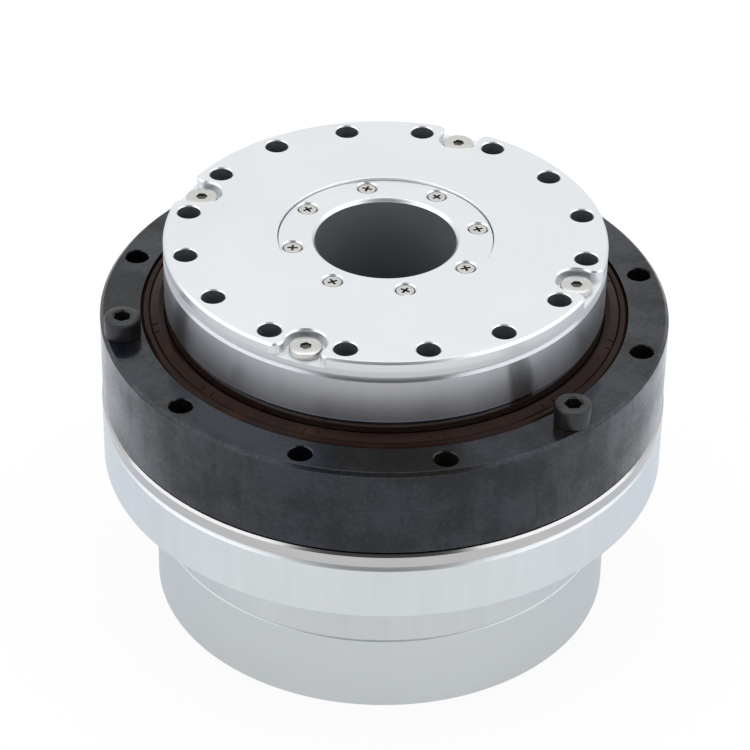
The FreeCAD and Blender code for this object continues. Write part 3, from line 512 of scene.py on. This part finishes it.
def rearCover(look):
    edge, joint, inside = look["edge"], look["jointEdge"], caseR - look["wall"]
    cup = turned([
        (look["hole"], 0), (caseR - edge, 0), (caseR, edge), (caseR, coverTop - joint),
        (caseR - joint, coverTop), (inside, coverTop), (inside, look["floor"]),
        (look["hole"], look["floor"])], soften=look["soften"])
    angles = even(4, look["screwTurn"])
    drill = turned([
        (0, -past), (look["screwSink"], -past), (look["screwSink"], look["sinkDepth"]),
        (look["screwHole"], look["sinkDepth"]), (look["screwHole"], coverTop + past),
        (0, coverTop + past)], holeSteps, (look["screwCircle"], 0.0))
    windows = []
    gap = look["windowGap"]
    for node in ("power_connector", "signal_connector"):
        low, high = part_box(node)
        windows.append(box(
            (low.x / mm - gap, inside / 2, low.z / mm - gap),
            (high.x / mm + gap, caseR + 1, high.z / mm + gap)))
    cup = combined(cup, joined(roundAxis(drill, angles), *windows))
    return finishPiece(cup, "rearCover", "rear_cover")


rearCover(coverLook)


# Motor housing: neck, broad flange and the seat of the front shaft bearing
housingLook = {"edge": 0.45, "topEdge": 0.65, "flangeH": 11.6, "stator": 38.03, "boss": 26.0, "lip": 21.9,
               "seat": 23.53, "seatLow": 36.0, "seatTop": 43.0, "web": 36.6, "threadCircle": 51.0,
               "thread": 2.0, "threadDepth": 9.0, "soften": 0.06}
flangeR = span("motor_housing")[2]
brimLow = span("flexspline")[0]


def motorHousing(look):
    edge, top, joint = look["edge"], look["topEdge"], coverLook["jointEdge"]
    lipTop = span("motor_housing")[1]
    foot = brimLow - look["flangeH"]
    body = turned([
        (look["stator"], coverTop), (caseR - joint, coverTop), (caseR, coverTop + joint),
        (caseR, foot), (flangeR - edge, foot), (flangeR, foot + edge),
        (flangeR, brimLow - top), (flangeR - top, brimLow),
        (look["boss"], brimLow), (look["boss"], lipTop), (look["lip"], lipTop),
        (look["lip"], look["seatTop"]), (look["seat"], look["seatTop"]),
        (look["seat"], look["seatLow"]), (look["boss"], look["seatLow"]),
        (look["boss"], look["web"]), (look["stator"], look["web"])], soften=look["soften"])
    drill = holeCutter(look["thread"], 0.0, look["threadCircle"], brimLow - look["threadDepth"], brimLow)
    body = combined(body, roundAxis(drill, even(12)))
    return finishPiece(body, "motorHousing", "motor_housing")


motorHousing(housingLook)


# Flexspline: its round brim stays. Its oval cup turns with the rotor, as the wave does and its metal doesn't.
flexLook = {"cupFrom": 0.9, "cupGap": 0.02}


def flexsplineHalf(name, height, upper, body):
    bm = cadMesh("flexspline")
    bmesh.ops.bisect_plane(
        bm, geom=bm.verts[:] + bm.edges[:] + bm.faces[:], dist=0.0001 * mm,
        plane_co=(0, 0, height * mm), plane_no=(0, 0, 1), clear_inner=upper, clear_outer=not upper)
    bmesh.ops.bridge_loops(bm, edges=[edge for edge in bm.edges if edge.is_boundary])
    bmesh.ops.recalc_face_normals(bm, faces=bm.faces)
    return finishPiece(bm, name, "flexspline", body=body)


def flexspline(look):
    height = span("bearing_outer_ring")[0] + look["cupFrom"]
    flexsplineHalf("flexsplineBrim", height, False, "housing")
    flexsplineHalf("flexsplineCup", height + look["cupGap"], True, "rotor")


flexspline(flexLook)
finishPiece(cadMesh("circular_spline"), "splineRing", "circular_spline")


# Fixed ring of the output bearing, with its race and twelve holes
ringLook = {"edge": 0.65, "seal": 47.0, "sealDepth": 5.1, "land": 43.85, "race": 47.16,
            "raceHeight": 51.3, "raceHalf": 3.31, "holeEdge": 0.2, "soften": 0.08}
ringLow, ringTop, ringR = span("bearing_outer_ring")
mounts = {mount["name"]: mount for mount in frame["record"]["mounts"]}
ringHole = mounts["ring_bolts_rectangle"]["dims"]["hole_r_mm"]
ringCircle = mounts["ring_bolts_middle_pair"]["dims"]["spacing_y_mm"] / 2


def fixedRing(look):
    edge = look["edge"]
    body = turned([
        (look["land"], ringLow), (ringR - edge, ringLow), (ringR, ringLow + edge),
        (ringR, ringTop - edge), (ringR - edge, ringTop), (look["seal"], ringTop),
        (look["seal"], ringTop - look["sealDepth"]), (look["land"], ringTop - look["sealDepth"]),
        (look["land"], look["raceHeight"] + look["raceHalf"]), (look["race"], look["raceHeight"]),
        (look["land"], look["raceHeight"] - look["raceHalf"])], soften=look["soften"])
    drill = holeCutter(ringHole, look["holeEdge"], ringCircle, ringLow - past, ringTop)
    body = combined(body, roundAxis(drill, even(12)))
    return finishPiece(body, "fixedRing", "bearing_outer_ring")


fixedRing(ringLook)


# Inner ring of the output bearing; where it stands above the seal it has painted shade, a darker, bluer finish
# for the gap below the spline
innerLook = {"edge": 0.45, "inside": 34.5, "race": 39.04, "raceHeight": 51.3, "raceHalf": 3.31, "soften": 0.08}


def innerRing(look):
    low, top, outside = span("bearing_inner_ring")
    edge, inside = look["edge"], look["inside"]
    body = turned([
        (inside, low), (outside - edge, low), (outside, low + edge),
        (outside, look["raceHeight"] - look["raceHalf"]), (look["race"], look["raceHeight"]),
        (outside, look["raceHeight"] + look["raceHalf"]), (outside, top), (inside, top)],
        soften=look["soften"])
    # painted shade: faces above the seal take the darker, bluer second finish
    secondFinish(body, outside + 1, ringTop, top + 1)
    return finishPiece(body, "innerRing", "bearing_inner_ring", second="oiled_steel")


innerRing(innerLook)


# Oil seal: flat face, a groove, pairs of tick marks, and a lip that rises to the inner ring
sealLook = {"bevel": 0.7, "flat": 0.8, "groove": 0.4, "lipWall": 0.25, "lipGap": 0.12, "lipLean": 0.9,
            "contactRise": 0.1, "waistTop": 1.3, "waistLow": 1.7, "springLip": 2.55, "tickW": 0.35,
            "tickDepth": 0.25, "tickGap": 2.7, "tickFrom": 44.1, "tickTo": 45.25, "tickPairs": 12,
            "soften": 0.05}


def oilSeal(look):
    low, lipTop, outside = span("oil_seal")
    lip = span("bearing_inner_ring")[2] + look["lipGap"]
    bevel = outside - look["bevel"]
    flat = bevel - look["flat"]
    waist = (lip + flat) / 2
    crest = lip + look["lipLean"]
    body = turned([
        (waist, low), (outside, low), (outside, ringTop - look["bevel"]), (bevel, ringTop),
        (flat, ringTop), (flat - look["groove"] / 2, ringTop - look["groove"]),
        (flat - look["groove"], ringTop), (crest + look["lipWall"], lipTop), (crest, lipTop),
        (lip, ringTop + look["contactRise"]), (waist, ringTop - look["waistTop"]),
        (waist, ringTop - look["waistLow"]), (lip, ringTop - look["springLip"]),
        (lip, ringTop - look["springLip"] - look["lipWall"])], soften=look["soften"])
    spread = math.degrees(look["tickGap"] / 2 / flat)
    angles = even(look["tickPairs"], -spread) + even(look["tickPairs"], spread)
    half = look["tickW"] / 2
    tick = box((look["tickFrom"], -half, ringTop - look["tickDepth"]), (look["tickTo"], half, ringTop + 1))
    slope = (lipTop - ringTop) / (flat - look["groove"] - crest - look["lipWall"])
    inner = [vert for vert in tick.verts if vert.co.x < flat * mm - 1 * mm and vert.co.z < ringTop * mm]
    bmesh.ops.translate(tick, vec=(0, 0, (look["tickTo"] - look["tickFrom"]) * slope * mm), verts=inner)
    body = combined(body, roundAxis(tick, angles))
    return finishPiece(body, "oilSeal", "oil_seal")


oilSeal(sealLook)


# Output flange: sixteen holes, four pockets open to the rim, the seat of the cap
flangeLook = {"edge": 0.45, "capOpening": 20.6, "openingEdge": 0.1, "capSeat": 1.5, "ledge": 2.0,
              "ledgeR": 23.6, "spigot": 32.62, "spigotH": 0.6, "sleeveHole": 14.75, "holeEdge": 0.2,
              "holeTurn": -1.0, "pocket": 3.9, "pocketDepth": 2.2, "pocketCorner": 2.0,
              "pocketTurn": 55.25, "pocketEdge": 0.3, "screwHole": 1.75, "soften": 0.06}
flangeLow = span("circular_spline")[1]
flangeTop, outputR = span("output_flange")[1:]
outputHole = mounts["output_face_bolts"]["dims"]["hole_r_mm"]
outputCircle = mounts["output_face_bolts"]["dims"]["pcd_mm"] / 2
capTop = span("sleeve_cap")[1]


# One pocket: a round recess that opens to the rim between two rounded corners, its edge broken
def pocketCutter(look):
    floor, over = flangeTop - look["pocketDepth"], flangeTop + past
    pocket, corner, edge = look["pocket"], look["pocketCorner"], look["pocketEdge"]
    cornerCircle = outputR - corner
    reach = pocket + corner
    turn = math.degrees(math.acos(
        (outputCircle**2 + cornerCircle**2 - reach**2) / (2 * outputCircle * cornerCircle)))
    mouth = bmesh.new()
    outside = outputR + corner
    corners = [onCircle(outputCircle, 0), onCircle(cornerCircle, -turn), onCircle(outside, -turn),
               onCircle(outside, turn), onCircle(cornerCircle, turn)]
    face = mouth.faces.new([mouth.verts.new((x * mm, y * mm, floor * mm)) for x, y in corners])
    lifted = bmesh.ops.extrude_face_region(mouth, geom=[face])["geom"]
    top = [part for part in lifted if isinstance(part, bmesh.types.BMVert)]
    bmesh.ops.translate(mouth, vec=(0, 0, (over - floor) * mm), verts=top)
    bmesh.ops.recalc_face_normals(mouth, faces=mouth.faces)
    posts = joined(*(
        turned([(0, floor - 1), (corner, floor - 1), (corner, flangeTop - edge), (corner - edge, flangeTop),
                (corner - edge, over + 1), (0, over + 1)], headSteps, onCircle(cornerCircle, side * turn))
        for side in (-1, 1)))
    mouth = combined(mouth, posts)
    recess = turned([(0, floor), (pocket, floor), (pocket, flangeTop - edge), (pocket + edge, flangeTop),
                     (pocket + edge, over), (0, over)], 96, (outputCircle, 0.0))
    return combined(recess, mouth, "UNION")


def outputFlange(look):
    edge, lip, opening = look["edge"], look["openingEdge"], look["capOpening"]
    seat = capTop - look["capSeat"]
    under = seat - look["ledge"]
    foot = flangeLow - look["spigotH"]
    body = turned([
        (look["sleeveHole"], under), (look["ledgeR"], under), (look["ledgeR"], foot),
        (look["spigot"], foot), (look["spigot"], flangeLow), (outputR - edge, flangeLow),
        (outputR, flangeLow + edge), (outputR, flangeTop - edge), (outputR - edge, flangeTop),
        (opening + lip, flangeTop), (opening, flangeTop - lip), (opening, seat),
        (look["sleeveHole"], seat)], soften=look["soften"])
    pockets = even(4, look["pocketTurn"])
    body = combined(body, roundAxis(pocketCutter(look), pockets))
    drill = holeCutter(outputHole, look["holeEdge"], outputCircle, flangeLow - 1, flangeTop)
    screwDrill = holeCutter(look["screwHole"], 0.0, outputCircle, flangeLow - 1, flangeTop)
    holeAngles = even(16, look["holeTurn"])
    holes = joined(roundAxis(drill, holeAngles), roundAxis(screwDrill, pockets))
    body = combined(body, holes)
    # the hole walls take the darker second finish: drilled lines and painted shade inside the holes
    for degrees in holeAngles:
        secondFinish(body, outputHole + 0.02, flangeLow, flangeTop - look["holeEdge"] - 0.02,
                     onCircle(outputCircle, degrees))
    return finishPiece(body, "outputFlange", "output_flange", "drilled_aluminium")


outputFlange(flangeLook)


# Cap round the bore, with eight countersinks
capLook = {"edge": 0.12, "boreEdge": 0.6, "sleeve": 14.53, "screwCircle": 18.0, "screwTurn": -1.0,
           "sinkFoot": 1.1, "sink": 2.2, "sinkWall": 1.9, "sinkDepth": 1.0, "soften": 0.05}
boreR = mounts["centre_bore"]["dims"]["r_mm"]
sleeveTop = span("centre_sleeve")[1]


def sleeveCap(look):
    low, top, outside = span("sleeve_cap")
    edge, boreEdge = look["edge"], look["boreEdge"]
    body = turned([
        (look["sleeve"], low), (outside, low), (outside, top - edge), (outside - edge, top),
        (boreR + boreEdge, top), (boreR, top - boreEdge), (boreR, sleeveTop), (look["sleeve"], sleeveTop)],
        soften=look["soften"])
    foot, sink, wall, depth = look["sinkFoot"], look["sink"], look["sinkWall"], look["sinkDepth"]
    drill = turned([(0, low - past), (foot, low - past), (foot, top - depth), (wall, top - depth / 2),
                    (wall, top - sink + wall), (sink, top), (sink, top + past), (0, top + past)],
                   holeSteps, (look["screwCircle"], 0.0))
    body = combined(body, roundAxis(drill, even(8, look["screwTurn"])))
    return finishPiece(body, "sleeveCap", "sleeve_cap")


sleeveCap(capLook)


# Tube that lines the bore
sleeveLook = {"soften": 0.05}


def centreSleeve(look):
    low, top, outside = span("centre_sleeve")
    tube = turned([(boreR, low), (outside, low), (outside, top), (boreR, top)], soften=look["soften"])
    return finishPiece(tube, "centreSleeve", "centre_sleeve")


centreSleeve(sleeveLook)


# Hexagon socket with a drilled cone at its floor
def hexSocket(flats, low, top):
    bm = bmesh.new()
    corner = flats / math.sqrt(3) * mm
    bmesh.ops.create_cone(
        bm, cap_ends=True, segments=6, radius1=corner, radius2=corner, depth=(top - low + past) * mm)
    bmesh.ops.translate(bm, vec=(0, 0, (top + low + past) / 2 * mm), verts=bm.verts)
    cone = turned([(0, low - flats * 0.25), (flats * 0.48, low + 0.01), (0, low + 0.01)], 24)
    return combined(bm, cone, "UNION")


# A socket screw, head up, its seat at height zero
def socketScrew(look):
    head, height, shank, crown = look["head"], look["height"], look["shank"], look["crown"]
    profile = [(0, -look["length"]), (shank, -look["length"]), (shank, 0), (head - 0.1, 0), (head, 0.1),
               (head, height - crown), (head - crown * 0.3, height - crown * 0.3),
               (head - crown, height), (0, height)]
    body = turned(profile, headSteps, soften=0.06)
    depth = look["dish"]
    rim = look["flats"] / math.sqrt(3) + depth
    over = height + 0.01
    dish = turned([(0, height - depth), (rim - depth, height - depth), (rim, over), (0, over)], holeSteps)
    socket = hexSocket(look["flats"], height * (1 - look["socketShare"]), height)
    body = combined(combined(body, socket), dish)
    # the socket's walls and floor take the second finish, for the pocket screws painted shade
    secondFinish(body, rim, 0.0, height - depth - 0.01)
    return body


# Screws on a circle, each tightened to its own angle
def screwSet(name, node, bm, circle, angles, turns, height, headDown=False, second=None):
    screws = []
    for degrees, turn in zip(angles, turns):
        screw = bm.copy()
        bmesh.ops.rotate(screw, matrix=Matrix.Rotation(math.radians(turn), 3, "Z"), verts=screw.verts)
        if headDown:
            bmesh.ops.rotate(screw, matrix=Matrix.Rotation(math.pi, 3, "X"), verts=screw.verts)
        x, y = onCircle(circle, degrees)
        bmesh.ops.translate(screw, vec=(x * mm, y * mm, height * mm), verts=screw.verts)
        screws.append(screw)
    bm.free()
    return finishPiece(joined(*screws), name, node, second)


ringScrewLook = {"head": 3.5, "height": 4.0, "shank": 1.95, "length": 29.55, "crown": 0.7, "flats": 3.0,
                 "dish": 0.18, "socketShare": 0.55, "turns": (10.0, 47.0, 20.0)}
coverScrewLook = {"head": 2.75, "height": 3.0, "shank": 1.45, "length": 17.0, "crown": 0.35, "flats": 2.5,
                  "dish": 0.18, "socketShare": 0.55, "turns": (0.0, 25.0, 50.0, 12.0)}
pocketScrewLook = {"head": 3.05, "height": 1.25, "shank": 1.45, "length": 7.0, "crown": 0.3, "flats": 2.0,
                   "dish": 0.03, "socketShare": 0.4, "turns": (0.0, 20.0, 40.0, 15.0)}
screwSet("ringScrews", "outer_ring_screws", socketScrew(ringScrewLook), ringCircle, even(3, 60.0),
         ringScrewLook["turns"], ringTop, second="black_screw")
screwSet("coverScrews", "rear_cover_screws", socketScrew(coverScrewLook), coverLook["screwCircle"],
         even(4, coverLook["screwTurn"]), coverScrewLook["turns"], coverLook["sinkDepth"], True, "black_screw")
screwSet("pocketScrews", "flange_screws", socketScrew(pocketScrewLook), outputCircle,
         even(4, flangeLook["pocketTurn"]), pocketScrewLook["turns"], flangeTop - flangeLook["pocketDepth"],
         second="screw_recess")


# Countersunk cap screws with a cross recess
capScrewLook = {"head": 1.85, "shank": 0.95, "length": 3.2, "sink": 0.24, "coneLow": 1.0, "rim": 0.22,
                "crossW": 0.55, "crossL": 2.4, "crossDepth": 0.6,
                "turns": (10.0, 30.0, 60.0, 20.0, 75.0, 15.0, 45.0, 5.0)}


def crossScrew(look):
    top = -look["sink"]
    head, shank, rim, foot = look["head"], look["shank"], look["rim"], -look["length"]
    body = turned([(0, foot), (shank, foot), (shank, -look["coneLow"]), (head, top - rim),
                   (head - rim, top), (0, top)], headSteps, soften=0.03)
    arms = []
    for degrees in (0, 90):
        arm = box((-look["crossL"] / 2, -look["crossW"] / 2, top - look["crossDepth"]),
                  (look["crossL"] / 2, look["crossW"] / 2, top + past))
        floor = [vert for vert in arm.verts if vert.co.z < top * mm - 0.1 * mm]
        bmesh.ops.scale(arm, vec=(0.6, 0.7, 1.0), verts=floor)
        bmesh.ops.rotate(arm, matrix=Matrix.Rotation(math.radians(degrees), 3, "Z"), verts=arm.verts)
        arms.append(arm)
    body = combined(body, combined(arms[0], arms[1], "UNION"))
    # painted shade: the cross recess, the head's rounded rim and its upper cone take the dark second finish
    secondFinish(body, head, top - look["crossDepth"] - 0.1, top - 0.02)
    return body


screwSet("capScrews", "cap_screws", crossScrew(capScrewLook), capLook["screwCircle"],
         even(8, capLook["screwTurn"]), capScrewLook["turns"], capTop, second="screw_recess")


# Connectors behind the rear cover's windows
connectorLook = {"wall": 0.9, "cavity": 6.0, "pin": 0.8, "soften": 0.15}


def connector(name, node, pinCount, look):
    low, high = (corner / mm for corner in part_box(node))
    wall, half = look["wall"], look["pin"] / 2
    shell = box(low, high)
    softenEdges(shell, look["soften"])
    floor = high.y - look["cavity"]
    cavity = box((low.x + wall, floor, low.z + wall), (high.x - wall, high.y + 1, high.z - wall))
    shell = combined(shell, cavity)
    pitch = (high.x - low.x - 2 * wall) / pinCount
    height = (low.z + high.z) / 2
    blades = []
    for i in range(pinCount):
        middle = low.x + wall + (i + 0.5) * pitch
        blade = box((middle - half, floor - 0.3, height - half), (middle + half, high.y, height + half))
        tip = [vert for vert in blade.verts if vert.co.y > (high.y - 0.1) * mm]
        bmesh.ops.scale(blade, vec=(0.5, 1.0, 0.5), verts=tip,
                        space=Matrix.Translation((-middle * mm, 0, -height * mm)))
        blades.append(blade)
    return finishPiece(joined(shell, *blades), name, node)


connector("powerConnector", "power_connector", 2, connectorLook)
connector("signalConnector", "signal_connector", 4, connectorLook)
print("pieces made")


# Camera of the photograph: fitted view of the output face, turned into the part's frame
cameraLook = {"focal": 3249.3, "distance": 617.84, "pitch": 35.43, "roll": -0.946, "turn": -13.0,
              "faceCentre": (385.78, 235.04), "photoSize": 750.0, "sensor": 36.0}


def photoCamera(look):
    pitch, roll = math.radians(look["pitch"]), math.radians(look["roll"])
    right = Vector((1, 0, 0))
    up = Vector((0, math.sin(pitch), math.cos(pitch)))
    back = right.cross(up)
    level = right * math.cos(roll) - up * math.sin(roll)
    upright = right * math.sin(roll) + up * math.cos(roll)
    scale = look["distance"] / look["focal"]
    across = (look["faceCentre"][0] - look["photoSize"] / 2) * scale
    above = (look["photoSize"] / 2 - look["faceCentre"][1]) * scale
    centre = back * look["distance"] - level * across - upright * above
    centre = (centre + Vector((0, 0, flangeTop))) * mm
    stand = Matrix((level, upright, back)).transposed().to_4x4()
    stand.translation = centre
    camera = bpy.data.objects.new("photoCamera", bpy.data.cameras.new("photoCamera"))
    camera.data.sensor_width = look["sensor"]
    camera.data.lens = look["focal"] / look["photoSize"] * look["sensor"]
    camera.data.clip_start = 0.01
    camera.matrix_world = Matrix.Rotation(math.radians(look["turn"]), 4, "Z") @ stand
    bpy.context.scene.collection.objects.link(camera)
    bpy.context.scene.camera = camera
    return camera


photoCamera(cameraLook)

# Studio: white floor and surround, soft boxes at both sides and above, a dark panel in front
studioLook = {"floorSize": 12.0, "floorColour": (0.9, 0.9, 0.9), "floorGlow": 1.0, "glowShare": 0.65,
              "whiter": 0.24, "floorTint": (0.85, 0.915, 1.0), "neutralFrom": (-0.3, 0.8), "fill": 0.85,
              "surround": 1.0, "frontShade": 0.08, "frontTurn": -13.0, "panelAhead": (0.69, 0.75),
              "panelUp": (0.6, 0.8)}
white = (1.0, 1.0, 1.0, 1.0)
softBoxes = {
    "leftBox": {"azimuth": 182.0, "elevation": 37.0, "distance": 1.6, "size": (2.0, 1.0), "radiance": 0.85},
    "rightBox": {"azimuth": -28.0, "elevation": 37.0, "distance": 1.6, "size": (2.0, 1.0), "radiance": 0.85},
    "topBox": {"azimuth": 77.0, "elevation": 80.0, "distance": 1.8, "size": (1.8, 1.8), "radiance": 0.9},
}


# Camera rays, glossy rays, and all rays that see the background
def seenRays(finish):
    ray = finish.node("LightPath").socket.node
    camera, glossy, through = (Sock(finish.tree, ray.outputs[kind]) for kind in (
        "Is Camera Ray", "Is Glossy Ray", "Is Transmission Ray"))
    return camera, glossy, finish.node("Math", {"operation": "MAXIMUM"}, {
        0: camera, 1: finish.node("Math", {"operation": "MAXIMUM"}, {0: glossy, 1: through})})


# The way to the photograph's camera along the floor
def frontWay(look):
    turn = math.radians(look["frontTurn"] - 90.0)
    return math.cos(turn), math.sin(turn)


def studioFloor(look):
    finish = Finish(bpy.data.materials.new("studioFloor"))
    camera, _, seen = seenRays(finish)
    x, y, _, r = finish.place()
    frontX, frontY = frontWay(look)
    ahead = finish.ease((x * frontX + y * frontY) / r, *look["neutralFrom"])
    base = finish.node("BsdfDiffuse", sockets={"Color": rgba(look["floorColour"])})
    tint = finish.mix(camera, finish.mix(ahead, rgba(look["floorTint"]), white), white)
    glow = finish.node("Emission", sockets={"Color": tint, "Strength": look["floorGlow"]})
    share = seen * look["glowShare"] + camera * look["whiter"]
    both = finish.node("MixShader", sockets={0: share, 1: base, 2: glow})
    finish.node("OutputMaterial", sockets={"Surface": both})
    bm = bmesh.new()
    bmesh.ops.create_grid(bm, x_segments=1, y_segments=1, size=look["floorSize"] / 2)
    floor = asObject(bm, "studioFloor")
    floor.data.materials.append(finish.owner)
    return floor


def studioWorld(look):
    finish = Finish(bpy.data.worlds.new("studio"))
    bpy.context.scene.world = finish.owner
    _, glossy, seen = seenRays(finish)
    x, y, z, r = finish.place(0)
    frontX, frontY = frontWay(look)
    ahead = finish.ease((x * frontX + y * frontY) / r, *look["panelAhead"])
    panel = ahead * finish.ease(z / r, *look["panelUp"])
    shade = panel * glossy * (1 - look["frontShade"])
    strength = seen * (look["surround"] - look["fill"]) + look["fill"] - shade * look["surround"]
    sky = finish.node("Background", sockets={"Color": white, "Strength": strength})
    finish.node("OutputWorld", sockets={"Surface": sky})


def softBox(name, look):
    light = bpy.data.lights.new(name, "AREA")
    light.shape = "RECTANGLE"
    light.size, light.size_y = look["size"]
    light.energy = look["radiance"] * math.pi * light.size * light.size_y
    lamp = bpy.data.objects.new(name, light)
    azimuth, elevation = math.radians(look["azimuth"]), math.radians(look["elevation"])
    way = Vector((math.cos(azimuth) * math.cos(elevation), math.sin(azimuth) * math.cos(elevation),
                  math.sin(elevation)))
    lamp.location = way * look["distance"]
    lamp.rotation_euler = way.to_track_quat("Z", "Y").to_euler()
    bpy.context.scene.collection.objects.link(lamp)


studioFloor(studioLook)
studioWorld(studioLook)
for boxName, boxLook in softBoxes.items():
    softBox(boxName, boxLook)
bpy.context.scene.view_settings.view_transform = "Standard"
print("studio ready")
